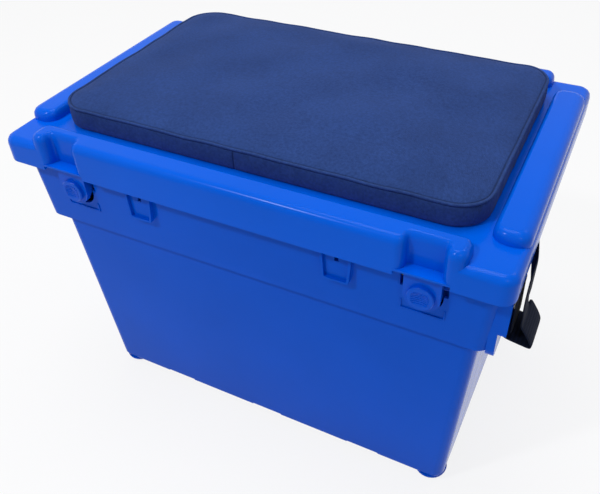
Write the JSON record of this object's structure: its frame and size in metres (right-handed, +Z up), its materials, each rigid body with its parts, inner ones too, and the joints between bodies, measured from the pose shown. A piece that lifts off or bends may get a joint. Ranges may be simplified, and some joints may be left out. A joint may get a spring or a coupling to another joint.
{
  "type": "fishing seat box",
  "caption": "Moulded bucket with a padded seat lid on rear hinges, rocker latches in front, a webbing shoulder strap, and a sliding tray inside.",
  "frame": {"origin": "centre of the overall footprint, on the floor under the feet", "axes": "+X along the long side, -Y is the latch side, +Z up"},
  "size_m": [0.514, 0.316, 0.3569],
  "materials": {
    "blue_tub": "glossy moulded",
    "blue_lid": "glossy moulded",
    "blue_tray": "glossy moulded",
    "blue_lever": "glossy moulded",
    "blue_foot": "glossy moulded",
    "navy_cloth": "coarse plain weave",
    "navy_webbing": "ribbed webbing",
    "black_slide": "matt moulded",
    "steel": "bright zinc"
  },
  "bodies": {
    "box_body": {"tub": "blue_tub", "shoulder_strap": "navy_webbing", "foot_front_left": "blue_foot", "foot_front_right": "blue_foot", "foot_rear_left": "blue_foot", "foot_rear_right": "blue_foot", "foot_screw_front_left": "steel", "foot_screw_front_right": "steel", "foot_screw_rear_left": "steel", "foot_screw_rear_right": "steel", "latch_pin_left": "steel", "latch_pin_right": "steel", "latch_spring_left": "steel", "latch_spring_right": "steel", "hinge_pin_left": "steel", "hinge_pin_right": "steel"},
    "lid_body": {"lid": "blue_lid", "cushion": "navy_cloth"},
    "latch_left": {"latch_lever_left": "blue_lever"},
    "latch_right": {"latch_lever_right": "blue_lever"},
    "tray_body": {"tray": "blue_tray", "tray_divider_long": "blue_tray", "tray_divider_left": "blue_tray", "tray_divider_right": "blue_tray"},
    "slide_body": {"strap_slide": "black_slide"}
  },
  "joints": [
    {"name": "lid_hinge", "type": "hinge", "parent": "box_body", "child": "lid_body", "pos_m": [0, 0.1517, 0.296], "axis": [-1, 0, 0], "range_deg": [0, 105]},
    {"name": "latch_left_press", "type": "hinge", "parent": "box_body", "child": "latch_left", "pos_m": [-0.1712, -0.13805, 0.29], "axis": [1, 0, 0], "range_deg": [0, 9], "stiffness_Nm_per_rad": 0.12, "springref_deg": -6.88, "deforming": ["latch_spring_left"]},
    {"name": "latch_right_press", "type": "hinge", "parent": "box_body", "child": "latch_right", "pos_m": [0.1712, -0.13805, 0.29], "axis": [1, 0, 0], "range_deg": [0, 9], "stiffness_Nm_per_rad": 0.12, "springref_deg": -6.88, "deforming": ["latch_spring_right"]},
    {"name": "tray_slide", "type": "slide", "parent": "box_body", "child": "tray_body", "axis": [1, 0, 0], "range_m": [0, 0.2205]},
    {"name": "slider_travel", "type": "slide", "parent": "box_body", "child": "slide_body", "axis": [1, 0, 0], "range_m": [-0.05, 0.05]}
  ]
}
